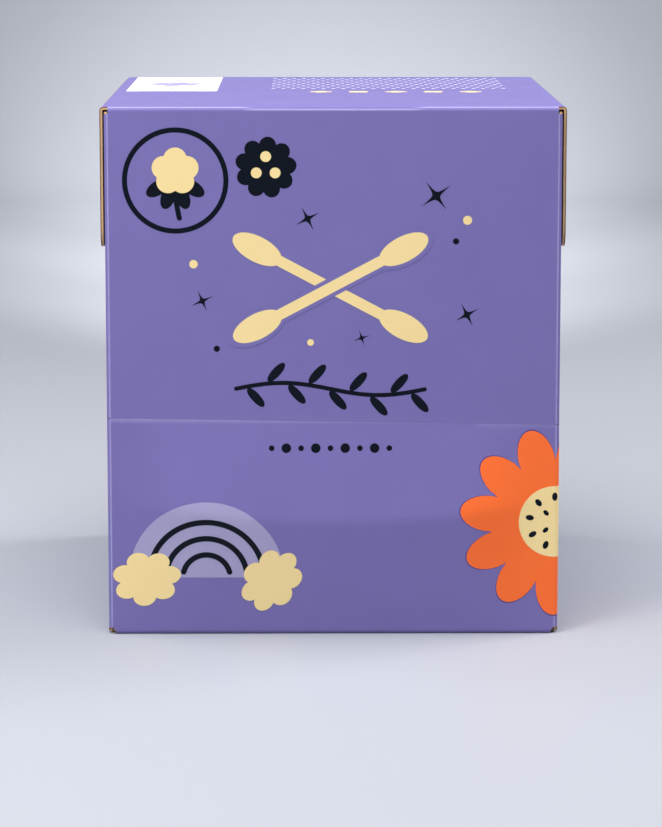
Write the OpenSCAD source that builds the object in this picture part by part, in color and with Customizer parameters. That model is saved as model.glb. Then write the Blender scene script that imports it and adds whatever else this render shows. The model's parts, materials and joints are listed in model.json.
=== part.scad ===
/* [Carton] */
// Width over the two side walls
carton_w = 80; // [60:1:110]
// Depth from the front panel to the back panel
carton_d = 84; // [70:1:100]
// Height from the bottom panel to the top panel
carton_h = 94; // [80:1:120]
// Thickness of the printed, kraft-backed board
board_t = 0.5; // [0.35:0.05:0.6]
// Inside radius of every fold in the board
fold_inner_r = 0.2; // [0.15:0.05:0.4]
// Die-cut notch that frees the folds where they meet at a corner
corner_notch = 1.2; // [1:0.1:2.5]
// Clearance of a side wall's free edges from the top panel and from the ground
wall_edge_gap = 0.4; // [0.2:0.1:1]

/* [Glued flaps] */
// Length of the outer flaps that fold down from the top panel
top_flap_len = 24.8; // [12:0.2:32]
// Shadow gap between an outer flap and the side wall it is glued to
top_flap_gap = 0.3; // [0.1:0.05:0.5]
// Radius of the two lower corners of an outer flap
top_flap_corner_r = 3; // [1:0.5:6]
// Height of the inner flaps that fold up from the bottom panel
bottom_flap_len = 20; // [8:0.5:21]
// Depth of the inner flaps that fold forward from the back panel
back_flap_len = 20; // [10:1:30]
// Depth of the seam flap that closes the tube at the bottom of the front
seam_flap_len = 12; // [6:1:20]
// Gap between two flaps that lie side by side in one layer
flap_side_gap = 1; // [0.5:0.5:3]

/* [Flip-top lid] */
// Distance from the outer flaps' lower ends down to the hinge crease across the back
flap_to_crease = 1.2; // [0.5:0.1:6]
// Height of the tear line at the middle of the front panel
tear_z = 38.5; // [32:0.5:42]
// Width of the torn cut where it crosses the front panel
tear_gap = 0.2; // [0.1:0.05:0.5]

/* [Inner collar] */
// Thickness of the collar's board
collar_t = 0.5; // [0.3:0.05:0.6]
// Film of glue between the collar and the carton
glue_gap = 0.15; // [0.1:0.05:0.3]
// Length of the collar's side wings, from the front backwards
collar_wing_len = 30; // [15:1:45]
// Height of the collar's lower edge at its corners
collar_foot_z = 24.2; // [22:0.2:28]
// How far the collar's upper corners stay below the hinge crease
collar_below_hinge = 4; // [2:0.5:12]
// How far both curved edges dip in the middle of the front
collar_sag = 4.2; // [2:0.2:6]
// Radius of the upper back corner of each wing
collar_corner_r = 8; // [2:1:12]

/* [Cotton swabs] */
// Number of swabs in the carton
swab_count = 200; // [20:10:200]
// Room between each end of a swab and the collar, for a swab that lies in the middle
swab_end_room = 2.35; // [1:0.05:5]
// Diameter of a cotton tip
tip_d = 5.5; // [5:0.1:6]
// Length of a cotton tip
tip_len = 14; // [11:0.5:16]
// Thickness of the cotton where a tip begins on the stem
cotton_edge = 0.3; // [0.2:0.05:0.6]
// Diameter of the rolled paper stem
stem_d = 2.5; // [2:0.1:2.8]
// Cotton that covers each end of the stem
stem_cover = 1.5; // [1:0.1:3]
// Least clearance between neighbouring tips
tip_clearance = 0.06; // [0.04:0.01:0.2]
// How far a swab may lie to one side of the middle
swab_play = 1.5; // [0:0.1:2]
// Free height between the swabs and the top panel
headroom = 18; // [12:1:30]

/* [Hidden] */
$fn = 48;

// Folds and panels
fold_r = fold_inner_r + board_t;
half_w = carton_w / 2;
half_d = carton_d / 2;
front_half_w = half_w - fold_r;
inner_half_w = half_w - board_t;
back_half_w = inner_half_w - fold_r;
top_half_w = half_w + top_flap_gap + board_t - fold_r;
inner_flap_x = inner_half_w - board_t;

// Hinge, and how far the cut is drawn past the carton
hinge_z = carton_h - top_flap_len - flap_to_crease;
beyond = 10;

// Collar
collar_top_z = hinge_z - collar_below_hinge;
collar_half_w = inner_half_w - glue_gap;
collar_front_y = -half_d + board_t + glue_gap;
collar_fold_r = fold_inner_r + collar_t;
collar_arc_half = collar_half_w - collar_fold_r;
collar_arc_r = (pow(collar_arc_half, 2) + pow(collar_sag, 2)) / (2 * collar_sag);

// Stack of swabs between the collar and the back panel
stack_front_y = collar_front_y + collar_t + tip_clearance;
stack_back_y = half_d - board_t - tip_clearance;
stack_floor_z = 2 * board_t + tip_clearance;
stack_top_z = carton_h - board_t - headroom;
tip_pitch = tip_d + tip_clearance;
stack_depth = stack_back_y - stack_front_y - tip_d;
swabs_per_row = floor(stack_depth / tip_pitch + 0.5);
column_pitch = stack_depth / (swabs_per_row - 0.5);
row_pitch = sqrt(pow(tip_pitch, 2) - pow(column_pitch / 2, 2));
rows_that_fit = floor((stack_top_z - stack_floor_z - tip_d) / row_pitch) + 1;
swabs_inside = min(swab_count, swabs_per_row * rows_that_fit);
swab_len = 2 * (collar_half_w - collar_t - swab_end_room);
stem_len = swab_len - 2 * stem_cover;
side_play = min(swab_play, swab_end_room - tip_clearance);

// Profile of a tip, from its neck on the stem to the centre of its round end
neck_r = stem_d / 2 + cotton_edge;
round_r = tip_d / 2;
round_z = tip_len - round_r;
tip_slope = asin(round_r / norm([neck_r, round_z])) - atan2(neck_r, round_z);

// Both sides of the carton are alike
module both_sides() {
    children();
    mirror([1, 0, 0]) children();
}

// Flat board between two corners given as points
module board(from, to) {
    translate(from) cube(to - from);
}

// Section of a quarter fold, between the +x and +y directions
module fold_section(outer_r, thickness) {
    intersection() {
        difference() {
            circle(outer_r);
            circle(outer_r - thickness);
        }
        square(outer_r);
    }
}

// Rectangle with round corners, centred
module rounded_rectangle(w, h, r) {
    square([w - 2 * r, h], center = true);
    square([w, h - 2 * r], center = true);
    for (x = [-1, 1], y = [-1, 1]) translate([x * (w / 2 - r), y * (h / 2 - r)]) circle(r);
}

// Extrudes a section drawn in Y and Z along X, over both halves
module extrude_across(half_len) {
    rotate([90, 0, 90]) translate([0, 0, -half_len]) linear_extrude(2 * half_len) children();
}

// Extrudes a section drawn in X and Z along Y
module extrude_back(from_y, to_y) {
    translate([0, to_y, 0]) rotate([90, 0, 0]) linear_extrude(to_y - from_y) children();
}

// Front, top, back and bottom panels, joined by four folds, with the glued seam inside
module panel_tube() {
    extrude_across(back_half_w) translate([0, carton_h / 2]) difference() {
        rounded_rectangle(carton_d, carton_h, fold_r);
        rounded_rectangle(carton_d - 2 * board_t, carton_h - 2 * board_t, fold_inner_r);
    }
    board([-front_half_w, -half_d, corner_notch],
          [front_half_w, -half_d + board_t, carton_h - corner_notch]);
    board([-top_half_w, -half_d + corner_notch, carton_h - board_t],
          [top_half_w, half_d - corner_notch, carton_h]);
    board([-back_half_w + flap_side_gap, -half_d + board_t / 2, board_t / 2],
          [back_half_w - flap_side_gap, -half_d + seam_flap_len, 2 * board_t]);
}

// Full-height side wall that folds back from the front panel
module side_wall() {
    translate([front_half_w, -half_d + fold_r, corner_notch]) mirror([0, 1, 0])
        linear_extrude(carton_h - 2 * corner_notch) fold_section(fold_r, board_t);
    board([inner_half_w, -half_d + fold_r, wall_edge_gap],
          [half_w, half_d - fold_inner_r, carton_h - board_t - wall_edge_gap]);
}

// Flap that folds forward from the back panel, glued inside the side wall
module back_flap() {
    translate([back_half_w, half_d - fold_r, corner_notch])
        linear_extrude(carton_h - 2 * corner_notch) fold_section(fold_r, board_t);
    board([inner_flap_x, half_d - back_flap_len, corner_notch],
          [inner_half_w, half_d - fold_r, carton_h - corner_notch]);
}

// Flap that folds up from the bottom panel, glued inside the side wall
module bottom_flap() {
    from_y = -half_d + corner_notch;
    to_y = half_d - back_flap_len - flap_side_gap;
    translate([back_half_w, 0, fold_r]) mirror([0, 0, 1])
        extrude_back(from_y, to_y) fold_section(fold_r, board_t);
    board([inner_flap_x, from_y, fold_r], [inner_half_w, to_y, bottom_flap_len]);
}

// Flap that folds down from the top panel, glued outside the side wall
module top_flap() {
    outer_x = half_w + top_flap_gap + board_t;
    from_y = -half_d + corner_notch;
    to_y = half_d - corner_notch;
    translate([top_half_w, 0, carton_h - fold_r])
        extrude_back(from_y, to_y) fold_section(fold_r, board_t);
    translate([outer_x - board_t, 0, carton_h - fold_r]) rotate([90, 0, 90])
        linear_extrude(board_t) difference() {
            translate([from_y, fold_r - top_flap_len]) square([to_y - from_y, top_flap_len - fold_r]);
            for (end = [-1, 1]) difference() {
                translate([end * to_y, fold_r - top_flap_len]) square(2 * top_flap_corner_r, center = true);
                translate([end * (to_y - top_flap_corner_r), fold_r - top_flap_len + top_flap_corner_r])
                    circle(top_flap_corner_r);
            }
        }
}

// The closed carton, folded and glued from one blank
module closed_carton() {
    panel_tube();
    both_sides() {
        side_wall();
        back_flap();
        bottom_flap();
        top_flap();
    }
}

// Space above the cut, which rises from the tear line to the hinge; "drop" lowers it at the front
module above_cut(drop) {
    front = [-half_d, tear_z - drop];
    rise = ([half_d, hinge_z] - front) * (beyond / carton_d);
    from = front - rise;
    to = [half_d, hinge_z] + rise;
    extrude_across(carton_w)
        polygon([from, to, [to.x, carton_h + beyond], [from.x, carton_h + beyond]]);
}

// Front of the collar: both edges are cut to one curve that dips in the middle
module collar_front() {
    difference() {
        translate([-collar_half_w, collar_foot_z])
            square([2 * collar_half_w, collar_top_z - collar_foot_z]);
        collar_dip(collar_top_z);
    }
    collar_dip(collar_foot_z);
}

// Sliver between a straight edge and the curve that dips below it
module collar_dip(edge_z) {
    intersection() {
        translate([-collar_arc_half, edge_z - collar_sag]) square([2 * collar_arc_half, collar_sag]);
        translate([0, edge_z - collar_sag + collar_arc_r]) circle(collar_arc_r, $fn = 360);
    }
}

// Collar from above: the front and two wings, joined by round folds
module collar_plan() {
    translate([-collar_arc_half, collar_front_y]) square([2 * collar_arc_half, collar_t]);
    both_sides() {
        translate([collar_arc_half, collar_front_y + collar_fold_r]) mirror([0, 1])
            fold_section(collar_fold_r, collar_t);
        translate([collar_half_w - collar_t, collar_front_y + collar_fold_r])
            square([collar_t, collar_wing_len - collar_fold_r]);
    }
}

// Side of the collar, with the upper back corner of the wing rounded off
module collar_side() {
    far_y = collar_front_y + collar_wing_len;
    difference() {
        translate([collar_front_y, collar_foot_z - collar_sag])
            square([collar_wing_len, collar_top_z - collar_foot_z + collar_sag]);
        difference() {
            translate([far_y, collar_top_z]) square(2 * collar_corner_r, center = true);
            translate([far_y - collar_corner_r, collar_top_z - collar_corner_r]) circle(collar_corner_r);
        }
    }
}

// Bottom, lower front and stepped side walls: the part that stands and holds the swabs
module carton_base() {
    color([0.46, 0.43, 0.69]) difference() {
        closed_carton();
        above_cut(tear_gap);
    }
}

// Flip-top lid: top, upper front and the upper part of every wall
module lid() {
    color([0.50, 0.47, 0.73]) intersection() {
        closed_carton();
        above_cut(0);
    }
}

// Plain board collar, glued behind the lower front; the lid closes over its upper half
module collar() {
    color([0.66, 0.52, 0.38]) intersection() {
        translate([0, 0, collar_foot_z - collar_sag])
            linear_extrude(collar_top_z - collar_foot_z + collar_sag) collar_plan();
        extrude_back(-half_d, half_d) collar_front();
        extrude_across(half_w) collar_side();
    }
}

// Puts a shape at every swab's place: staggered rows across the whole depth, ends a little uneven
module at_each_swab() {
    for (i = [0 : swabs_inside - 1]) {
        row = floor(i / swabs_per_row);
        column = i % swabs_per_row + (row % 2) / 2;
        translate([
            side_play * sin(137.5 * i),
            stack_front_y + tip_d / 2 + column * column_pitch,
            stack_floor_z + tip_d / 2 + row * row_pitch,
        ]) children();
    }
}

// Rolled paper stems, each wound with cotton at both ends
module paper_stems() {
    color([0.95, 0.91, 0.84]) at_each_swab()
        rotate([0, 90, 0]) cylinder(h = stem_len, d = stem_d, center = true);
}

// Cotton tips: each widens off the stem and runs smoothly into a round end
module cotton_tips() {
    color([0.98, 0.98, 0.97]) at_each_swab() both_sides()
        translate([swab_len / 2 - tip_len, 0, 0]) rotate([0, 90, 0]) {
            cylinder(h = round_z - round_r * sin(tip_slope), r1 = neck_r, r2 = round_r * cos(tip_slope));
            translate([0, 0, round_z]) sphere(round_r);
        }
}

carton_base();
lid();
collar();
paper_stems();
cotton_tips();
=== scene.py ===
import json
import math
import random

import bmesh
import bpy
from mathutils import Matrix, Vector, noise


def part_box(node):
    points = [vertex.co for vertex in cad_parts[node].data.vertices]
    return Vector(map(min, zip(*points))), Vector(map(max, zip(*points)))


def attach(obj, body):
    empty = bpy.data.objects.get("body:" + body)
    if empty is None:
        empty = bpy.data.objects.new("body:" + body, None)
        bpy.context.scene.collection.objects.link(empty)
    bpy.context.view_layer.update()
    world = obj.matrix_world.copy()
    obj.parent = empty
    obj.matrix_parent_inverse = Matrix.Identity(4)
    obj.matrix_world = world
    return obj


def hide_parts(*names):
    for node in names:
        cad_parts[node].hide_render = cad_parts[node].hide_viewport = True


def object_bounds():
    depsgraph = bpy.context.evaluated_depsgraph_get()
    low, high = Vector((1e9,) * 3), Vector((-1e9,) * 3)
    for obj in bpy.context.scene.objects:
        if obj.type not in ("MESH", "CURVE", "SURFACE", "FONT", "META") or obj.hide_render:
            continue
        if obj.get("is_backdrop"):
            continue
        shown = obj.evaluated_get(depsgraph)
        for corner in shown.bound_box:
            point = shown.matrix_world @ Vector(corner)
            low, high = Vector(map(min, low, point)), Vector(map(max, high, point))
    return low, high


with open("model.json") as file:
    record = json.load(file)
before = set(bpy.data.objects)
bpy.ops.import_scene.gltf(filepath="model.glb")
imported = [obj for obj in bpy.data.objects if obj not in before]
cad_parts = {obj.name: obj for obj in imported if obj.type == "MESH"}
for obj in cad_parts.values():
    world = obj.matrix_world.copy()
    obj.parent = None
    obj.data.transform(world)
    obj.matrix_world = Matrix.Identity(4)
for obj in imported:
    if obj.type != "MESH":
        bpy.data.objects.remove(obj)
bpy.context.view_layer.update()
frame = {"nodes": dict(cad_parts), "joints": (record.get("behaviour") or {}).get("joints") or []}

# Carton: one blank of folding boxboard, kraft-backed, printed and varnished on the outside.
# It is die-cut, creased, folded round and glued. The lid is torn free along a perforated line,
# so the base and the lid are cut here from the same folded sheet.
MM = 0.001
base_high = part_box("carton_base")[1]
lid_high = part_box("lid")[1]
hinge = Vector(frame["joints"][0]["pos_m"])
half_w = base_high.x
half_d = base_high.y
height = lid_high.z
board_t = 0.5 * MM
fold_r = 0.7 * MM
fold_len = fold_r * math.pi / 2
front_half = half_w - fold_r
top_half = lid_high.x - fold_r
back_half = half_w - board_t - fold_r

# Panels in the order in which the blank goes round: front, top, back and bottom
FRONT, TOP, BACK, BOTTOM = range(4)
panel_len = [height - 2 * fold_r, 2 * (half_d - fold_r)] * 2
panel_half = [front_half, top_half, back_half, back_half]
panel_start = [fold_r + k * fold_len + sum(panel_len[:k]) for k in range(4)]

# Side walls of the front, which stop short of the back, the foot and the top of the carton; outer flaps of
# the top; inner flaps of the back and the bottom; and the seam flap, glued to the bottom from inside
side_wall_short = 0.9 * MM
side_wall_foot = 0.4 * MM
side_wall_head = 0.9 * MM
outer_flap_short = 1.9 * MM
inner_flap_len = 19.3 * MM
flap_len = [
    2 * half_d - side_wall_short, height - hinge.z - outer_flap_short, inner_flap_len, inner_flap_len,
]
flap_corner_r = 3 * MM
flap_corner_angles = (15, 30, 45, 60, 75)
bottom_flap_from = 20.3 * MM
notch = 0.5 * MM
notch_slack = 0.01 * MM
near_fold = 2 * MM
seam_flap_len = 11.5 * MM
seam_flap_short = 1 * MM
glue_t = 0.02 * MM

# Tear line: a little lower at the right, nearly closed on the front and a little open on the sides
tear_left_z = 39.1 * MM
tear_right_z = 37.9 * MM
tear_gap = 0.02 * MM
tear_side_gap = 0.12 * MM

# Relief of the front: the collar's lower edge shows as a shallow curve with a ridge along it,
# and away from its folds the board is a little wavy
curve_mid_z = 20.6 * MM
curve_rise = 2.6
ridge_lift = 2.0 * MM
ridge_fade = 16 * MM
below_ridge_power = 1.3
board_wave = 0.05 * MM
wave_len = 22 * MM
stiff_edge = 6 * MM

# Dent along the middle of the top front fold, and the bulge of the top behind it
dent_half = 15 * MM
dent_end = 1 * MM
dent_depth = 0.3 * MM
dent_width = 0.12 * MM
dent_v = panel_start[TOP] - 0.2 * fold_len
top_bulge = 0.45 * MM
bulge_rise = 3 * MM
bulge_fade = 9 * MM
bulge_full = 0.3 * front_half
bulge_gone = 0.8 * front_half

# Pale ink along the folds of the front is partly ink stretched thin and partly painted highlight; the line
# under the dent is painted highlight
# Streaks of pale ink: the middle and the width of each streak, as a share of the top front fold, or in
# columns
fold_streak = (0.82, 0.13)
dent_streak = (0.25, 0.14)
side_streak = (1.1, 0.11)
side_streak_from = 0.999
side_streak_to = 1.6
dent_highlight = 0.5
side_whitening_and_highlight = 0.6
# Painted highlight along the torn rim of the base: its band, and its strength at the left and at the right
rim_band = 0.05 * MM
rim_highlight_left = 0.3
rim_highlight_right = 0.12

# Stretches of the sheet that are each cut along a line of their own; the top counts with the back
ON_FRONT, ON_RIGHT_WALL, ON_LEFT_WALL, ON_BACK, ON_INNER_FLAP = range(5)


def smooth_step(low, high, value):
    """0 below low, 1 above high, and a smooth rise between them."""
    t = min(max((value - low) / (high - low), 0), 1)
    return t * t * (3 - 2 * t)


def streak(at, middle, width):
    """1 in the middle of a streak, fading out on both sides of it."""
    return math.exp(-((at - middle) / width) ** 2)


def panel_at(v):
    """Panel at the point v round the carton, and how far v is past its start; v is z on the front."""
    side = max(k for k in range(4) if k == 0 or v >= panel_start[k])
    return side, v - panel_start[side]


def girth(v):
    """Place and outward normal in Y and Z of the point v round the carton."""
    side, past = panel_at(v)
    flat = min(past, panel_len[side])
    facing = math.pi - side * math.pi / 2
    turned = facing - (past - flat) / fold_r
    corner_y = fold_r - half_d if side in (FRONT, TOP) else half_d - fold_r
    corner_z = fold_r if side in (FRONT, BOTTOM) else height - fold_r
    y = corner_y + math.sin(facing) * flat + math.cos(turned) * fold_r
    z = corner_z - math.cos(facing) * flat + math.sin(turned) * fold_r
    return y, z, Vector((0, math.cos(turned), math.sin(turned)))


def tear_z(u):
    """Height of the tear line at u across the front."""
    return tear_left_z + (tear_right_z - tear_left_z) * (u + front_half) / (2 * front_half)


def dent_window(u):
    """1 over the stretch of the top front fold that is dented, and 0 towards both corners."""
    return 1 - smooth_step(dent_half - dent_end, dent_half + dent_end, abs(u))


def relief(u, v):
    """How far the board stands out at u across and v round the carton."""
    side, past = panel_at(v)
    to_fold = max(min(past, panel_len[side] - past), 0)
    to_crease = abs(abs(u) - panel_half[side])
    stiff = smooth_step(0, stiff_edge, to_fold) * smooth_step(0, stiff_edge, to_crease)
    lift = board_wave * stiff * noise.noise(Vector((u, v, 0)) / wave_len)
    if abs(u) > front_half:
        return lift
    if v < panel_start[TOP]:
        curve_z = curve_mid_z + curve_rise * u * u
        if v > curve_z:
            share = max(1 - (v - curve_z) / (tear_z(u) - curve_z), 0)
        else:
            share = max(v / curve_z, 0) ** below_ridge_power
        lift += ridge_lift * share * smooth_step(0, ridge_fade, to_crease)
    lift -= dent_depth * dent_window(u) * streak(v, dent_v, dent_width)
    if side == TOP:
        calm = 1 - smooth_step(bulge_full, bulge_gone, abs(u))
        lift += top_bulge * calm * smooth_step(0, bulge_rise, past) * math.exp(-past / bulge_fade)
    return lift


def place(u, v, half):
    """Outside of the folded board at u across and v round the carton, creased at half on both sides."""
    y, z, facing = girth(v)
    beyond = max(abs(u) - half, 0)
    turn = min(beyond / fold_r, math.pi / 2)
    depth = fold_r * (1 - math.cos(turn)) + max(beyond - fold_len, 0)
    x = math.copysign(min(abs(u), half) + fold_r * math.sin(turn), u)
    outward = facing * math.cos(turn) + Vector((math.copysign(math.sin(turn), u), 0, 0))
    return Vector((x, y, z)) - facing * depth + outward * relief(u, v), outward


def steps(start, stop, pitch):
    """Even steps of about one pitch from start to stop, both included."""
    count = max(round(abs(stop - start) / pitch), 1)
    return [start + (stop - start) * i / count for i in range(count + 1)]


def panel_rows(side, pitch, fold_steps):
    """Rows of the blank over one panel and the fold that follows it."""
    start = panel_start[side]
    end = start + panel_len[side]
    inner = steps(start + notch, end - notch, pitch)
    round_rows = []
    if side == TOP:
        first, last = inner[0], inner[-1]
        sines = [math.sin(math.radians(angle)) for angle in flap_corner_angles]
        low = [first + flap_corner_r * (1 - s) for s in sines]
        round_rows = low + [first + last - v for v in low]
        inner = [v for v in inner if min(v - first, last - v) > flap_corner_r or v in (first, last)]
    if side == BOTTOM:
        round_rows = [start + bottom_flap_from]
    return [start] + sorted(inner + round_rows) + steps(end, end + fold_len, fold_len / fold_steps)[:-1]


# The blank's grid: rows are closest on the front, which has the relief and the print, and on its upper fold.
# Columns 0 to 1 are the panel, 1 to 2 its side fold and 2 to 3 its flap, with a close line beside each fold.
blank_rows = (
    panel_rows(FRONT, 1 * MM, 18) + panel_rows(TOP, 2 * MM, 6)
    + panel_rows(BACK, 4 * MM, 6) + panel_rows(BOTTOM, 5 * MM, 6)
)
blank_rows.append(panel_start[BOTTOM] + panel_len[BOTTOM] + fold_len)
panel_columns = 32
fold_columns = 8
flap_columns = 24
before_fold = 0.997
after_fold = 2.004
half_columns = (
    [i / panel_columns for i in range(panel_columns)] + [before_fold]
    + [1 + i / fold_columns for i in range(fold_columns + 1)] + [after_fold]
    + [2 + i / flap_columns for i in range(1, flap_columns + 1)]
)
blank_columns = [-c for c in reversed(half_columns[1:])] + half_columns


def row_half(v):
    """Half width between the side creases at v; the folds between panels are the narrowest."""
    side, past = panel_at(v)
    if notch - notch_slack < past < panel_len[side] - notch + notch_slack:
        return panel_half[side]
    return front_half if abs(v - panel_start[TOP]) < near_fold else back_half


def flap_reach(v):
    """Length of the side flap beyond its fold, with the outer flap's corners rounded off."""
    side, past = panel_at(v)
    reach = flap_len[side]
    if side == TOP:
        edge = max(min(past, panel_len[TOP] - past) - notch, 0)
        if edge < flap_corner_r:
            reach -= flap_corner_r - math.sqrt(flap_corner_r ** 2 - (flap_corner_r - edge) ** 2)
    return reach


def flat_reach(column, half, flap):
    """How far a column is from the middle of the flat blank, over the panel, its fold and its flap."""
    return min(column, 1) * half + min(max(column - 1, 0), 1) * fold_len + max(column - 2, 0) * flap


def fold_blank(column, v):
    """Folds the point of the flat blank that is in a column, at v round the carton."""
    half = row_half(v)
    u = flat_reach(abs(column), half, flap_reach(v))
    spot = place(math.copysign(u, column), v, half)[0]
    side, past = panel_at(v)
    if side == FRONT and abs(column) > 2:
        if past < notch + notch_slack:
            spot.z = side_wall_foot
        if past > panel_len[FRONT] - notch - notch_slack:
            spot.z = height - side_wall_head
    return spot


def fold_whitening_and_highlight(column, v):
    """How pale the ink is: up to 1 along the folds of the front, 0 on the panels. Along the folds the pale
    line is partly ink stretched thin and partly painted highlight; under the dent it is painted highlight.
    """
    side, past = panel_at(v)
    reach = abs(column)
    if side != FRONT:
        return 0
    round_fold = (past - panel_len[FRONT]) / fold_len
    if round_fold > 0 and reach <= 1:
        window = dent_window(reach * front_half)
        beside = (1 - window) * streak(round_fold, *fold_streak)
        return max(beside, dent_highlight * window * streak(round_fold, *dent_streak))
    if side_streak_from < reach < side_streak_to:
        return side_whitening_and_highlight * streak(reach, *side_streak)
    return 0


def flat_blank():
    """The blank before folding, as a grid of columns and rows, with its die-cut notches removed."""
    bm = bmesh.new()
    across = len(blank_columns) - 1
    along = len(blank_rows) - 1
    crease = bm.verts.layers.float.new("crease")
    bmesh.ops.create_grid(bm, x_segments=across, y_segments=along, size=1)
    for vert in bm.verts:
        column = blank_columns[round((vert.co.x + 1) / 2 * across)]
        row = blank_rows[round((vert.co.y + 1) / 2 * along)]
        vert.co = (column, row, 0)
        # Pale ink at the folds of the front: partly stretched ink, partly painted highlight
        vert[crease] = fold_whitening_and_highlight(column, row)
    waste = []
    zone = bm.faces.layers.int.new("zone")
    for face in bm.faces:
        middle = face.calc_center_median()
        side, past = panel_at(middle.y)
        notched = past < notch or past > panel_len[side] - notch
        short = side == BOTTOM and past < bottom_flap_from
        if abs(middle.x) > 1 and (notched or short):
            waste.append(face)
        if side == FRONT and abs(middle.x) > 1:
            face[zone] = ON_RIGHT_WALL if middle.x > 0 else ON_LEFT_WALL
        if side in (TOP, BACK):
            face[zone] = ON_INNER_FLAP if side == BACK and abs(middle.x) > 2 else ON_BACK
    bmesh.ops.delete(bm, geom=waste, context="FACES")
    return bm


def tear(bm, part):
    """Cuts a folded sheet along the tear line, the side cuts and the crease; keeps the lid or the base."""
    front_drop = 0 if part == "lid" else tear_gap
    side_drop = Vector((0, 0, 0 if part == "lid" else tear_side_gap - tear_gap))
    left = Vector((-front_half, -half_d, tear_left_z - front_drop))
    right = Vector((front_half, -half_d, tear_right_z - front_drop))
    inner_flap = Vector((0, half_d - fold_r, hinge.z))
    flap_slope = Vector((0, half_d, hinge.z)) - Vector((0, -half_d, left.z))
    across = Vector((1, 0, 0))
    back = Vector((0, 1, 0))
    cuts = {
        ON_FRONT: (left, (right - left).cross(back)),
        ON_RIGHT_WALL: (right - side_drop, across.cross(Vector((right.x, half_d, hinge.z)) - right)),
        ON_LEFT_WALL: (left - side_drop, across.cross(Vector((left.x, half_d, hinge.z)) - left)),
        ON_BACK: (hinge, Vector((0, 0, 1))),
        ON_INNER_FLAP: (inner_flap, across.cross(flap_slope)),
    }
    zone = bm.faces.layers.int["zone"]
    borders = [e for e in bm.edges if len({f[zone] for f in e.link_faces}) > 1]
    bmesh.ops.split_edges(bm, edges=borders)
    for stretch, (point, upward) in cuts.items():
        geom = [f for f in bm.faces if f[zone] == stretch]
        for elements in (bm.edges, bm.verts):
            geom += [e for e in elements if any(f[zone] == stretch for f in e.link_faces)]
        bmesh.ops.bisect_plane(
            bm, geom=geom, dist=1e-7, plane_co=point, plane_no=upward,
            clear_inner=part == "lid", clear_outer=part == "base",
        )
    bmesh.ops.remove_doubles(bm, verts=bm.verts, dist=0.002 * MM)


def colour(hex_text):
    """Turns an sRGB hex value into Blender's linear colour."""
    parts = [int(hex_text[i:i + 2], 16) / 255 for i in (0, 2, 4)]
    return [c / 12.92 if c <= 0.04045 else ((c + 0.055) / 1.055) ** 2.4 for c in parts] + [1]


# Sockets of a Mix node that blends colours: the second one's share, the two colours, and the blend
SHARE, FIRST, SECOND, BLEND = 0, 6, 7, 2


def add_node(material, kind, inputs=None, **settings):
    """Adds a shader node with its settings; an input is a value or the output that feeds it."""
    tree = material.node_tree
    node = tree.nodes.new("ShaderNode" + kind)
    for name, value in settings.items():
        setattr(node, name, value)
    for name, value in (inputs or {}).items():
        if isinstance(value, bpy.types.NodeSocket):
            tree.links.new(value, node.inputs[name])
        else:
            node.inputs[name].default_value = value
    return node


def start_material(name):
    """An empty node material, its Object coordinates and its shader, already joined to the output."""
    material = bpy.data.materials.new(name)
    material.use_nodes = True
    material.node_tree.nodes.clear()
    place_node = add_node(material, "TexCoord")
    shader = add_node(material, "BsdfPrincipled")
    add_node(material, "OutputMaterial", {"Surface": shader.outputs["BSDF"]})
    return material, place_node.outputs["Object"], shader


def printed_board(name, ink, deep_ink, whitening_and_highlight_ink=None):
    """Litho-printed board under a matt varnish: an even ink with faint mottling and hardly any sheen.
    Where it is folded, the ink may be stretched thin; the pale line along the crease is partly this and
    partly painted highlight, and the pale line along the torn rim is painted highlight.
    The board's grain is finer than it is drawn here, where it would not show at all."""
    material, spot, shader = start_material(name)
    mottle = add_node(material, "TexNoise", {"Vector": spot, "Scale": 1 / (9 * MM), "Detail": 3.0})
    grain = add_node(material, "TexNoise", {"Vector": spot, "Scale": 1 / (0.45 * MM), "Detail": 2.0})
    tone = add_node(
        material, "Mix", {SHARE: mottle.outputs[0], FIRST: colour(ink), SECOND: colour(deep_ink)},
        data_type="RGBA",
    )
    # Pale ink where the attribute asks for it: partly ink stretched at the folds, and painted highlight
    # along the folds, the dent and the torn rim
    if whitening_and_highlight_ink:
        crease = add_node(material, "Attribute", attribute_name="crease")
        patchy = add_node(material, "TexNoise", {"Vector": spot, "Scale": 1 / (1.6 * MM), "Detail": 3.0})
        broken = add_node(material, "MapRange", {"Value": patchy.outputs[0], "To Min": 0.45, "To Max": 1.0})
        pale_share = add_node(
            material, "Math", {0: crease.outputs["Fac"], 1: broken.outputs[0]}, operation="MULTIPLY",
        )
        tone = add_node(
            material, "Mix", {SHARE: pale_share.outputs[0], FIRST: tone.outputs[BLEND], SECOND: colour(whitening_and_highlight_ink)},
            data_type="RGBA",
        )
    material.node_tree.links.new(tone.outputs[BLEND], shader.inputs["Base Color"])
    sheen = add_node(material, "MapRange", {"Value": mottle.outputs[0], "To Min": 0.42, "To Max": 0.52})
    material.node_tree.links.new(sheen.outputs[0], shader.inputs["Roughness"])
    bump = add_node(
        material, "Bump", {"Height": grain.outputs[0], "Strength": 0.12, "Distance": 0.02 * MM},
    )
    material.node_tree.links.new(bump.outputs[0], shader.inputs["Normal"])
    shader.inputs["IOR"].default_value = 1.5
    shader.inputs["Specular IOR Level"].default_value = 0.15
    return material


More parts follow.
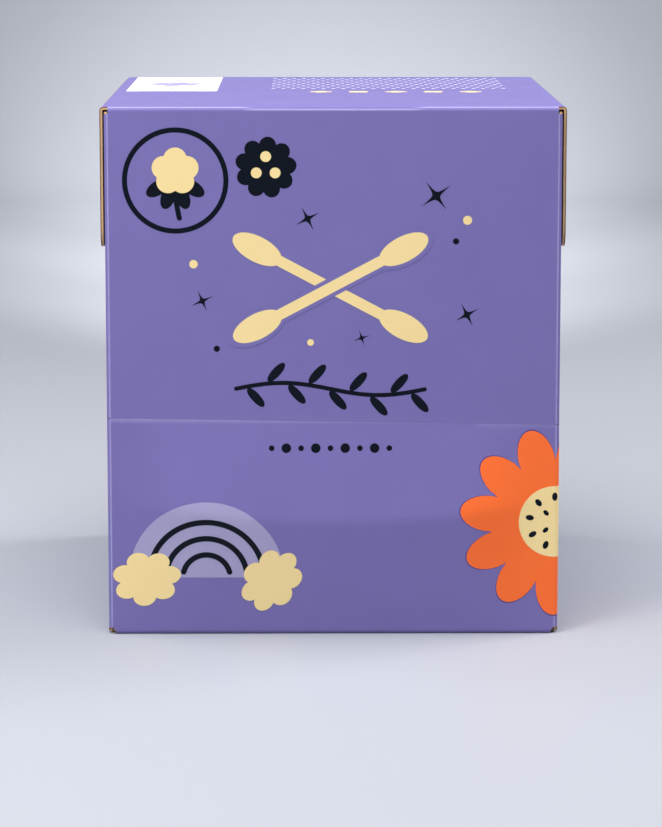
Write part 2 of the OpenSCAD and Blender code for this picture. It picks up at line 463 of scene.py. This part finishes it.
def kraft_board(name, light, dark, fibre):
    """Unbleached kraft board: brown pulp with short fibres that give it a speckled, matt surface.
    The fibres are drawn coarser than real ones, so that they show."""
    material, spot, shader = start_material(name)
    fibres = add_node(
        material, "TexNoise", {"Vector": spot, "Scale": 1 / fibre, "Detail": 4.0, "Roughness": 0.7},
    )
    clouds = add_node(material, "TexNoise", {"Vector": spot, "Scale": 1 / (5 * MM), "Detail": 2.0})
    blend = add_node(
        material, "Mix", {"Factor": 0.25, "A": fibres.outputs[0], "B": clouds.outputs[0]}, data_type="FLOAT",
    )
    spread = add_node(
        material, "MapRange", {"Value": blend.outputs[0], "From Min": 0.32, "From Max": 0.62},
    )
    tone = add_node(
        material, "Mix", {SHARE: spread.outputs[0], FIRST: colour(dark), SECOND: colour(light)},
        data_type="RGBA",
    )
    material.node_tree.links.new(tone.outputs[BLEND], shader.inputs["Base Color"])
    bump = add_node(
        material, "Bump", {"Height": fibres.outputs[0], "Strength": 0.3, "Distance": 0.05 * MM},
    )
    material.node_tree.links.new(bump.outputs[0], shader.inputs["Normal"])
    shader.inputs["Roughness"].default_value = 0.88
    return material


def finish_sheet(name, bm, thickness, materials):
    """Makes an object of a sheet, gives it its thickness inwards, and marks its hard edges.
    Three materials are the outside, the inside and the cut edge, which reads its depth in the board."""
    mesh = bpy.data.meshes.new(name)
    bm.to_mesh(mesh)
    bm.free()
    piece = bpy.data.objects.new(name, mesh)
    bpy.context.scene.collection.objects.link(piece)
    for material in materials:
        mesh.materials.append(material)
    wall = piece.modifiers.new("board", "SOLIDIFY")
    wall.thickness = thickness
    wall.offset = -1
    layered = len(materials) > 1
    if layered:
        wall.material_offset = 1
        wall.material_offset_rim = 2
    bpy.context.view_layer.update()
    solid = bpy.data.meshes.new_from_object(piece.evaluated_get(bpy.context.evaluated_depsgraph_get()))
    piece.modifiers.clear()
    piece.data = solid
    bpy.data.meshes.remove(mesh)
    if layered:
        board_depth = solid.attributes.new("depth", "FLOAT", "POINT")
        for face in solid.polygons:
            if face.material_index == 1:
                for number in face.vertices:
                    board_depth.data[number].value = 1
    solid.shade_smooth()
    solid.set_sharp_from_angle(angle=math.radians(35))
    return piece


# The pale ink CFC9F2 is painted highlight along the folds, the dent and the torn rim, and at the folds also
# ink stretched thin
outside = printed_board("litho_print_purple", "7A71AE", "756CA8", whitening_and_highlight_ink="CFC9F2")
inside = kraft_board("kraft_board_inside", "B89B76", "94754F", 0.5 * MM)

# Die-cut edge of the board: a dark brown ply under the print, and paler plies of coarser pulp behind it
cut_edge, spot, shader = start_material("kraft_board_cut_edge")
depth = add_node(cut_edge, "Attribute", attribute_name="depth")
core = add_node(cut_edge, "MapRange", {"Value": depth.outputs["Fac"], "From Min": 0.22, "From Max": 0.5})
pulp = add_node(cut_edge, "TexNoise", {"Vector": spot, "Scale": 1 / (0.4 * MM), "Detail": 4.0})
plies = add_node(
    cut_edge, "Mix", {SHARE: pulp.outputs[0], FIRST: colour("B48B60"), SECOND: colour("E0BC8C")},
    data_type="RGBA",
)
layers = add_node(
    cut_edge, "Mix", {SHARE: core.outputs[0], FIRST: colour("6B4C30"), SECOND: plies.outputs[BLEND]},
    data_type="RGBA",
)
cut_edge.node_tree.links.new(layers.outputs[BLEND], shader.inputs["Base Color"])
shader.inputs["Roughness"].default_value = 0.9

for part, node in (("base", "carton_base"), ("lid", "lid")):
    sheet = flat_blank()
    for vert in sheet.verts:
        vert.co = fold_blank(vert.co.x, vert.co.y)
    bmesh.ops.remove_doubles(sheet, verts=sheet.verts, dist=0.005 * MM)
    bmesh.ops.recalc_face_normals(sheet, faces=sheet.faces)
    tear(sheet, part)
    if part == "base":
        # The ink along the torn rim is painted pale as a highlight, most at the left, and the seam flap
        # closes the tube
        crease = sheet.verts.layers.float["crease"]
        rim_highlight_fall = rim_highlight_left - rim_highlight_right
        for vert in sheet.verts:
            above = vert.co.z - tear_z(vert.co.x) + tear_gap
            if vert.co.y < 0 and abs(above) < rim_band and abs(vert.co.x) < front_half:
                fall = rim_highlight_fall * smooth_step(-front_half, front_half, vert.co.x)
                vert[crease] = rim_highlight_left - fall
        seam = bmesh.ops.create_grid(sheet, x_segments=1, y_segments=1, size=1)["verts"]
        for vert in seam:
            vert.co.x *= back_half - seam_flap_short
            vert.co.y = seam_flap_len * (0.5 + 0.5 * vert.co.y) - half_d + board_t
            vert.co.z = 2 * board_t + glue_t
    shell = finish_sheet("folded_" + part, sheet, board_t, [outside, inside, cut_edge])
    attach(shell, part)
    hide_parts(node)

# Print: flat fields of ink on the front and the top, in a plain pattern of flower, rainbow and swabs.
# Each field lies on the varnished board, follows its relief and folds, and goes with the base or the lid.
# Places and sizes are in millimetres on the flat blank, and layers tell which ink lies over which.
print_t = 0.02 * MM


def field(bm, at, radius, outline=None, turn=0, tall=1, sides=48):
    """A field of ink round a centre; the outline gives its radius, as a share, by the angle."""
    made = bmesh.ops.create_circle(bm, cap_ends=True, segments=sides, radius=radius * MM)["verts"]
    for vert in made:
        if outline:
            vert.co *= outline(math.atan2(vert.co.y, vert.co.x))
        vert.co.y *= tall
    spin = Matrix.Rotation(math.radians(turn), 4, "Z")
    bmesh.ops.transform(bm, matrix=Matrix.Translation((at[0] * MM, at[1] * MM, 0)) @ spin, verts=made)


def stroke(bm, route, length, width, count=24):
    """A line of ink with round ends along a route, which gives a point for a share of the length."""
    half = width / 2
    nearby = 0.001
    round_end = [half * (1 - math.cos(math.radians(angle))) for angle in (0, 25, 50, 70, 90)]
    places = round_end + steps(half, length - half, (length - width) / count)[1:-1]
    places += [length - d for d in reversed(round_end)]
    last = len(places) - 1
    made = bmesh.ops.create_grid(bm, x_segments=last, y_segments=1, size=1)["verts"]
    for vert in made:
        along = places[round((vert.co.x + 1) / 2 * last)]
        end = min(along, length - along, half)
        spread = math.sqrt(max(half * half - (half - end) ** 2, 0)) * vert.co.y
        before = Vector(route(along / length - nearby))
        after = Vector(route(along / length + nearby))
        heading = (after - before).normalized()
        spot = (before + after) / 2 + Vector((-heading.y, heading.x)) * spread
        vert.co = (spot.x * MM, spot.y * MM, 0)
    bmesh.ops.remove_doubles(bm, verts=made, dist=0.001 * MM)


def lay_print(name, bm, ink, side=FRONT, layer=1):
    """Cuts a print to the board's own grid, lays it on the folded board and parts it into base and lid."""
    half = panel_half[side]
    lines = [math.copysign(flat_reach(abs(c), half, flap_len[side]), c) for c in blank_columns]
    for axis, marks in ((0, lines), (1, blank_rows)):
        low = min(v.co[axis] for v in bm.verts)
        high = max(v.co[axis] for v in bm.verts)
        normal = Vector((1 - axis, axis, 0))
        for mark in marks:
            if low < mark < high:
                bmesh.ops.bisect_plane(
                    bm, geom=bm.verts[:] + bm.edges[:] + bm.faces[:], dist=0.0005 * MM,
                    plane_co=normal * mark, plane_no=normal,
                )
    bmesh.ops.triangulate(bm, faces=bm.faces)
    zone = bm.faces.layers.int.new("zone")
    for face in bm.faces:
        middle = face.calc_center_median()
        face[zone] = ON_BACK if side == TOP else ON_FRONT
        if side == FRONT and abs(middle.x) > half:
            face[zone] = ON_RIGHT_WALL if middle.x > 0 else ON_LEFT_WALL
    for vert in bm.verts:
        spot, outward = place(vert.co.x, vert.co.y, half)
        vert.co = spot + outward * print_t * layer
    for part in ("base", "lid"):
        torn = bm.copy()
        tear(torn, part)
        if torn.faces:
            piece = finish_sheet(name + "_" + part, torn, print_t, [ink])
            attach(piece, part)
        else:
            torn.free()
    bm.free()


def lay_fields(name, ink, shapes, side=FRONT, layer=1):
    """Lays one print that is made of fields; each shape holds what field() is told."""
    bm = bmesh.new()
    for shape in shapes:
        field(bm, **shape)
    lay_print(name, bm, ink, side, layer)


def around(middle, distance, turn):
    """The point at a distance from the middle; the turn is in degrees from the right."""
    angle = math.radians(turn)
    return middle[0] + distance * math.cos(angle), middle[1] + distance * math.sin(angle)


def petals(count, depth):
    """Outline of round petals with sharp valleys between them."""
    return lambda angle: 1 - depth + depth * abs(math.cos(count * angle / 2)) ** 0.75


def leaf(taper):
    """Outline of a leaf: a circle that is slimmer across by the taper."""
    return lambda angle: 1 - taper * math.sin(angle) ** 2


def sparkle(angle):
    """Outline of a four-pointed sparkle with hollow sides."""
    return 1 / (1 + 3.2 * abs(math.sin(2 * angle)) ** 0.8)


def wound_end(angle):
    """Outline of a wound tip: round at one end and slimmer at the other."""
    return 1 - 0.2 * math.sin(angle)


dark_ink = printed_board("litho_print_dark_green", "020C1B", "010A17")
cream_ink = printed_board("litho_print_cream", "F6DDA0", "F2D797")
orange_ink = printed_board("litho_print_orange", "FF7436", "FC7033")
lilac_ink = printed_board("litho_print_lilac", "A6A0C5", "A09ABF")
shade_ink = printed_board("litho_print_deep_purple", "4A3F80", "463B7A")
white_ink = printed_board("litho_print_white", "F4F4F8", "EEEEF4")

# Flower at the lower right, which runs on over the side fold: orange petals with a thin deep purple line
# round them, a cream heart, and two rings of dark seeds.
flower = (39.3, 20.4)
for name, radius, ink, layer in (("flower_line", 17.2, shade_ink, 1), ("flower", 17, orange_ink, 2)):
    shape = dict(at=flower, radius=radius, outline=petals(11, 0.34), turn=8, sides=176)
    lay_fields(name, ink, [shape], layer=layer)
lay_fields("flower_heart", cream_ink, [dict(at=flower, radius=6.4)], layer=3)
seeds = []
for distance, count, radius in ((2.2, 4, 0.6), (4.5, 9, 0.75)):
    for k in range(count):
        turn = 360 * k / count + 20 * distance
        at = around(flower, distance, turn)
        seeds.append(dict(at=at, radius=radius, turn=turn, tall=0.65, sides=16))
lay_fields("flower_seeds", dark_ink, seeds, layer=4)

# Rainbow at the lower left: a lilac half disc with three dark arches, which are strokes with round ends,
# and a cream cloud at each foot.
rainbow = (-22.5, 10.5)
arch_from = 0.04
arch_share = 0.92
bm = bmesh.new()
field(bm, rainbow, 13.8, sides=72)
bmesh.ops.bisect_plane(
    bm, geom=bm.verts[:] + bm.edges[:] + bm.faces[:], plane_co=(0, rainbow[1] * MM, 0),
    plane_no=(0, 1, 0), clear_inner=True,
)
lay_print("rainbow", bm, lilac_ink)
bm = bmesh.new()
for radius in (4.2, 7.2, 10.2):
    stroke(
        bm, lambda t: (
            rainbow[0] - radius * math.cos(math.pi * (arch_from + arch_share * t)),
            rainbow[1] + radius * math.sin(math.pi * (arch_from + arch_share * t)),
        ), arch_share * math.pi * radius, 1.0, count=round(4 * radius),
    )
lay_print("rainbow_lines", bm, dark_ink, layer=2)
lay_fields("clouds", cream_ink, [
    dict(at=at, radius=6.2, outline=petals(7, 0.24), turn=turn, tall=0.8, sides=112)
    for at, turn in (((-33.2, 10.2), 10), ((-11.0, 10.0), 50))
], layer=3)

# Crossed swabs in the middle of the front: cream strokes with a wound end at both tips. The upper one has
# a rim in the board's own purple, which parts it from the lower one.
crossing = Vector((-0.5, 62.3))
crossed_len = 22
crossed_stem_w = 1.9
crossed_tip_at = 13.6
for name, number, turn, grow, ink, layer in (
    ("swab", 0, -28, 0, cream_ink, 2), ("halo", 1, 28, 0.7, outside, 3), ("swab", 1, 28, 0, cream_ink, 4),
):
    ahead = Vector((math.cos(math.radians(turn)), math.sin(math.radians(turn))))
    bm = bmesh.new()
    stroke(bm, lambda t: crossing + ahead * (t - 0.5) * crossed_len, crossed_len, crossed_stem_w + 2 * grow)
    lay_print(f"crossed_{name}_stem_{number}", bm, ink, layer=layer)
    tips = []
    for way in (-1, 1):
        at = crossing + ahead * way * crossed_tip_at
        tall = 2.15 - 0.35 * grow
        tips.append(dict(at=at, radius=2.2 + grow, outline=wound_end, turn=turn + 90 * way, tall=tall))
    lay_fields(f"crossed_{name}_tips_{number}", ink, tips, layer=layer + 0.4)

# Sparkles and dots round the swabs: dark stars with four hollow sides, and small dark and cream dots.
# The smaller a sparkle is, the less it is turned.
sparkle_spots = (
    ((-4.5, 74.5), 2.3), ((18, 78.5), 3.0), ((-23, 60), 2.0), ((23.5, 57.5), 2.3), ((5, 53.4), 1.5),
)
sparkles = [
    dict(at=at, radius=size, outline=sparkle, turn=12 * size, sides=64) for at, size in sparkle_spots
]
dots = [dict(at=at, radius=0.55, sides=20) for at in ((21.5, 70.5), (-20.5, 51.5))]
lay_fields("sparkles", dark_ink, sparkles + dots)
lay_fields("cream_dots", cream_ink, [
    dict(at=at, radius=size, sides=24)
    for at, size in (((23.5, 74.2), 0.8), ((-24.5, 66.5), 0.75), ((-4, 52.6), 0.6))
])

# Sprig just above the tear line: a dark stem that sways, with leaves above and below it in turn.
# Below the line is a row of dark beads, large and small in turn.
sprig_start = (-17.5, 44.3)
sprig_len = 34
sprig_sway = 1.1
leaf_count = 9
leaf_off = (1.3, 2.0)


def sprig_route(t):
    """Stem of the sprig, which sways once up and once down."""
    return sprig_start[0] + sprig_len * t, sprig_start[1] + sprig_sway * math.sin(2 * math.pi * t)


bm = bmesh.new()
stroke(bm, sprig_route, sprig_len, 0.75, count=40)
for k in range(leaf_count):
    x, z = sprig_route((k + 0.7) / (leaf_count + 0.4))
    up = 1 if k % 2 else -1
    at = (x + leaf_off[0], z + leaf_off[1] * up)
    field(bm, at, 2.15, leaf(0.25), turn=48 * up, tall=0.48, sides=28)
lay_print("sprig", bm, dark_ink)
lay_fields("bead_row", dark_ink, [
    dict(at=(-0.5 + 2.6 * k, 33.8), radius=0.85 if k % 2 else 0.5, sides=20) for k in range(-4, 5)
])

# Ring with a cotton boll at the upper left: a dark disc, a smaller one in the board's own purple, and on it
# leaves, stem and boll. Beside it is a dark rosette with three cream dots.
ring = (-27.6, 81.2)
leaves_at = (ring[0], ring[1] + 0.6)
boll = (ring[0], ring[1] + 1.6)
rosette = (-11.8, 83.5)
lay_fields("ring", dark_ink, [dict(at=ring, radius=9.3, sides=72)])
lay_fields("ring_middle", outside, [dict(at=ring, radius=8.4, sides=72)], layer=2)
lay_fields("boll_leaves", dark_ink, [
    dict(at=around(leaves_at, 3, turn), radius=2.9, outline=leaf(0.3), turn=turn, tall=0.62, sides=32)
    for turn in (-148, -110, -70, -32)
], layer=3)
bm = bmesh.new()
stroke(bm, lambda t: (ring[0] + 0.8 * t * t, ring[1] - 1 - 6 * t), 6, 0.9, count=10)
lay_print("boll_stem", bm, dark_ink, layer=3.4)
lay_fields("boll", cream_ink, [
    dict(at=boll, radius=4.2, outline=petals(5, 0.22), turn=18, sides=90),
], layer=4)
lay_fields("rosette", dark_ink, [dict(at=rosette, radius=5.4, outline=petals(9, 0.2), turn=5, sides=108)])
lay_fields("rosette_dots", cream_ink, [
    dict(at=around(rosette, 1.9, turn), radius=0.95, sides=24) for turn in (90, 210, 330)
], layer=2)

# Top panel: a white field at the left back with lilac marks on it, rows of small white dots beside it,
# and a row of cream rosettes in front of them.
top_v = panel_start[TOP] / MM + panel_len[TOP] / MM / 2
white_field = (-30, top_v + 19.5)
white_half_w = 8.5
white_half_d = 20.5
bm = bmesh.new()
made = bmesh.ops.create_grid(bm, x_segments=1, y_segments=1, size=1)["verts"]
for vert in made:
    u = white_field[0] + white_half_w * vert.co.x
    v = white_field[1] + white_half_d * vert.co.y
    vert.co = (u * MM, v * MM, 0)
lay_print("white_field", bm, white_ink, side=TOP)
lay_fields("white_field_flowers", lilac_ink, [
    dict(at=(white_field[0], top_v + 19), radius=5.6, outline=petals(6, 0.5), turn=20, sides=72),
    dict(at=(white_field[0], top_v + 31), radius=2.6, outline=sparkle, sides=48),
    dict(at=(white_field[0], top_v + 7), radius=2.6, outline=sparkle, sides=48),
], side=TOP, layer=2)
lay_fields("dot_rows", white_ink, [
    dict(at=(-11 + 1.9 * (k + row % 2 / 2), top_v + 7 + 3.6 * row), radius=0.42, sides=10)
    for row in range(9) for k in range(24 - row % 2)
], side=TOP)
lay_fields("top_rosettes", cream_ink, [
    dict(at=(-2 + 7 * k, top_v - 2.5), radius=2.1, outline=petals(4, 0.3), turn=45 * (k % 2), sides=40)
    for k in range(5)
], side=TOP)

# Collar: a strip of unprinted kraft board, cut to a curve at both edges and glued behind the lower front.
# The solid of the frame has its form, so it only gets its board.
collar = frame["nodes"]["collar"]
collar.data.materials.clear()
collar.data.materials.append(kraft_board("kraft_board_collar", "C2A67F", "9C7D58", 0.5 * MM))

# Cotton swabs: stems rolled from cream paper and glued, with cotton wound on both ends by machine.
# They lie across the carton in staggered rows, each a little to one side.
stem_r = 1.25 * MM
stem_sides = 10
neck_r = 1.5 * MM
tip_r = 2.75 * MM
tip_len = 14 * MM
tip_sides = 9
tip_profile = (
    (0, neck_r), (0.16, 1.85 * MM), (0.42, 2.4 * MM), (0.68, tip_r), (0.84, 2.5 * MM), (0.95, 1.5 * MM),
)
slimmest_tip = 0.95


def solid_boxes(node):
    """Lowest and highest corner of each separate solid in a node of the frame."""
    bm = bmesh.new()
    bm.from_mesh(frame["nodes"][node].data)
    bmesh.ops.remove_doubles(bm, verts=bm.verts, dist=0.001 * MM)
    seen = set()
    boxes = []
    for first in bm.verts:
        if first in seen:
            continue
        seen.add(first)
        solid = [first]
        for vert in solid:
            for edge in vert.link_edges:
                other = edge.other_vert(vert)
                if other not in seen:
                    seen.add(other)
                    solid.append(other)
        low = Vector([min(v.co[i] for v in solid) for i in range(3)])
        high = Vector([max(v.co[i] for v in solid) for i in range(3)])
        boxes.append((low, high))
    bm.free()
    return boxes


def one_stem(length):
    """A straight stem along X."""
    bm = bmesh.new()
    bmesh.ops.create_cone(
        bm, cap_ends=True, segments=stem_sides, radius1=stem_r, radius2=stem_r, depth=length,
        matrix=Matrix.Rotation(math.radians(90), 4, "Y"),
    )
    return bm


def one_tip():
    """A wound tip along +X from its neck at 0: a slim cone that swells into a round end."""
    bm = bmesh.new()
    rim = [bm.verts.new((share * tip_len, 0, radius)) for share, radius in tip_profile]
    rim.append(bm.verts.new((tip_len, 0, 0)))
    edges = [bm.edges.new(pair) for pair in zip(rim, rim[1:])]
    bmesh.ops.spin(
        bm, geom=rim + edges, axis=(1, 0, 0), cent=(0, 0, 0), angle=2 * math.pi,
        steps=tip_sides, use_merge=True,
    )
    bmesh.ops.remove_doubles(bm, verts=bm.verts, dist=0.01 * MM)
    bmesh.ops.holes_fill(bm, edges=bm.edges)
    bmesh.ops.recalc_face_normals(bm, faces=bm.faces)
    return bm


def add_copies(name, master, placings, material):
    """One object with a copy of the master at each placing."""
    pattern = bpy.data.meshes.new(name + "_pattern")
    master.to_mesh(pattern)
    master.free()
    bm = bmesh.new()
    count = len(pattern.vertices)
    for placing in placings:
        bm.from_mesh(pattern)
        bm.verts.ensure_lookup_table()
        bmesh.ops.transform(bm, matrix=placing, verts=bm.verts[-count:])
    mesh = bpy.data.meshes.new(name)
    bm.to_mesh(mesh)
    bm.free()
    bpy.data.meshes.remove(pattern)
    mesh.materials.append(material)
    mesh.shade_smooth()
    mesh.set_sharp_from_angle(angle=math.radians(60))
    piece = bpy.data.objects.new(name, mesh)
    bpy.context.scene.collection.objects.link(piece)
    return piece


# Rolled paper: cream and matt, with the faint lines of the wrapped sheet running along the stem
paper, spot, shader = start_material("rolled_paper")
bands = add_node(paper, "Mapping", {"Vector": spot, "Scale": (1, 6, 6)})
tone = add_node(paper, "TexNoise", {"Vector": bands.outputs[0], "Scale": 1 / (4 * MM), "Detail": 3.0})
cream = add_node(
    paper, "Mix", {SHARE: tone.outputs[0], FIRST: colour("EFE3CD"), SECOND: colour("F8F1E2")},
    data_type="RGBA",
)
paper.node_tree.links.new(cream.outputs[BLEND], shader.inputs["Base Color"])
shader.inputs["Roughness"].default_value = 0.7

# Wound cotton: white and matt, with soft tufts; the sheen stands for the fuzz round each tip.
# The tufts are drawn coarser than real fibres, so that they show.
cotton, spot, shader = start_material("wound_cotton")
tufts = add_node(
    cotton, "TexNoise", {"Vector": spot, "Scale": 1 / (0.9 * MM), "Detail": 5.0, "Roughness": 0.65},
)
shade = add_node(
    cotton, "Mix", {SHARE: tufts.outputs[0], FIRST: colour("E9E9E8"), SECOND: colour("FDFDFC")},
    data_type="RGBA",
)
cotton.node_tree.links.new(shade.outputs[BLEND], shader.inputs["Base Color"])
fuzz = add_node(cotton, "Bump", {"Height": tufts.outputs[0], "Strength": 0.6, "Distance": 0.25 * MM})
cotton.node_tree.links.new(fuzz.outputs[0], shader.inputs["Normal"])
shader.inputs["Roughness"].default_value = 1.0
shader.inputs["Sheen Weight"].default_value = 0.4
shader.inputs["Sheen Roughness"].default_value = 0.6
shader.inputs["Subsurface Weight"].default_value = 0.15
shader.inputs["Subsurface Radius"].default_value = (1 * MM, 1 * MM, 1 * MM)

chance = random.Random(7)
stems = solid_boxes("paper_stems")
stem_length = stems[0][1].x - stems[0][0].x
stem_places = [Matrix.Translation((low + high) / 2) for low, high in stems]
stem_rods = add_copies("rolled_stems", one_stem(stem_length), stem_places, paper)
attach(stem_rods, "base")
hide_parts("paper_stems")

tip_places = []
for low, high in solid_boxes("cotton_tips"):
    middle = (low + high) / 2
    outward = math.copysign(1, middle.x)
    neck = Vector((middle.x - outward * (high.x - low.x) / 2, middle.y, middle.z))
    about = Matrix.Rotation(0 if outward > 0 else math.pi, 4, "Z")
    wound = Matrix.Rotation(chance.uniform(0, 2 * math.pi), 4, "X")
    girths = Matrix.Diagonal((1, chance.uniform(slimmest_tip, 1), chance.uniform(slimmest_tip, 1), 1))
    tip_places.append(Matrix.Translation(neck) @ about @ wound @ girths)
tip_puffs = add_copies("wound_tips", one_tip(), tip_places, cotton)
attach(tip_puffs, "base")
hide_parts("cotton_tips")

# Floor and backdrop: one pale sheet of matt studio paper.
# It lies flat under the carton and curves up behind it. Its sizes are in metres.
paper_half = 1.2
paper_spread = 3
paper_rise = 1.6
paper_bend_r = 0.5
sweep = bmesh.new()
bmesh.ops.create_grid(sweep, x_segments=1, y_segments=1, size=paper_half)
for vert in sweep.verts:
    vert.co.x *= paper_spread
    vert.co.y *= paper_spread if vert.co.y < 0 else 1
far_edges = [e for e in sweep.edges if all(v.co.y > 0 for v in e.verts)]
raised = bmesh.ops.extrude_edge_only(sweep, edges=far_edges)["geom"]
raised_verts = [g for g in raised if isinstance(g, bmesh.types.BMVert)]
bmesh.ops.translate(sweep, vec=(0, 0, paper_rise), verts=raised_verts)
bmesh.ops.bevel(
    sweep, geom=far_edges, offset=paper_bend_r, segments=32, profile=0.5, affect="EDGES", material=-1,
)
floor_mesh = bpy.data.meshes.new("studio_paper")
sweep.to_mesh(floor_mesh)
sweep.free()
floor_mesh.shade_smooth()
studio, spot, shader = start_material("studio_paper")
shader.inputs["Base Color"].default_value = colour("A6A9B1")
shader.inputs["Roughness"].default_value = 0.6
floor_mesh.materials.append(studio)
floor = bpy.data.objects.new("studio_paper", floor_mesh)
bpy.context.scene.collection.objects.link(floor)
floor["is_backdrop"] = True

# Soft studio light: a key from the left in front, a large light overhead, a lamp at each side, and three
# spots behind the carton that make a soft glow on the backdrop. Sizes are in metres, or degrees for a spot.
spot_lamp_r = 0.02
for name, kind, at, aim, size, power in (
    ("key", "AREA", (-0.22, -0.3, 0.27), (0, 0, 0.05), 0.16, 0.65),
    ("overhead", "AREA", (-0.05, -0.26, 0.75), (0, 0, 0.03), 0.5, 6.5),
    ("side_right", "AREA", (0.5, 0.12, 0.45), (0.05, 0.05, 0), 0.3, 3.2),
    ("side_left", "AREA", (-0.5, 0.12, 0.45), (-0.05, 0.05, 0), 0.3, 1.5),
    ("glow_far", "SPOT", (0, 0.12, 0.4), (0, 0.79, 0.01), 28, 26.0),
    ("glow_middle", "SPOT", (0, 0.12, 0.35), (0, 0.6, 0), 32, 15.0),
    ("glow_near", "SPOT", (0, 0.12, 0.08), (0, 0.9, 0.19), 72, 30.0),
):
    lamp = bpy.data.lights.new(name, kind)
    lamp.energy = power
    if kind == "AREA":
        lamp.size = size
    else:
        lamp.shadow_soft_size = spot_lamp_r
        lamp.spot_size = math.radians(size)
        lamp.spot_blend = 1
    light = bpy.data.objects.new(name, lamp)
    light.location = at
    light.rotation_euler = (Vector(aim) - Vector(at)).to_track_quat("-Z", "Y").to_euler()
    light.visible_camera = False
    bpy.context.scene.collection.objects.link(light)
world = bpy.data.worlds.new("studio")
world.use_nodes = True
world.node_tree.nodes["Background"].inputs["Color"].default_value = colour("DDE1EA")
world.node_tree.nodes["Background"].inputs["Strength"].default_value = 0.2
bpy.context.scene.world = world
bpy.context.scene.view_settings.view_transform = "Standard"

# Camera: at the photograph's angle, looking a little down on the front from nearly straight ahead.
# Its pitch, yaw, distance and focal length put the carton's corners where the photograph has them.
camera_pitch = math.radians(8.39)
camera_yaw = 0.007
camera_distance = 0.5761
camera_target = Vector((-0.11 * MM, 0, 48.48 * MM))
focal_pixels = 3034
photo_height_pixels = 827
sensor_mm = 36
camera_data = bpy.data.cameras.new("camera")
camera_data.sensor_width = sensor_mm
camera_data.lens = focal_pixels * sensor_mm / photo_height_pixels
camera_data.shift_y = -0.1
camera_data.clip_end = 20
camera = bpy.data.objects.new("camera", camera_data)
ahead = Vector((
    math.sin(camera_yaw) * math.cos(camera_pitch),
    math.cos(camera_yaw) * math.cos(camera_pitch),
    -math.sin(camera_pitch),
))
camera.location = camera_target - ahead * camera_distance
camera.rotation_euler = ahead.to_track_quat("-Z", "Y").to_euler()
bpy.context.scene.collection.objects.link(camera)
bpy.context.scene.camera = camera

low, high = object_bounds()
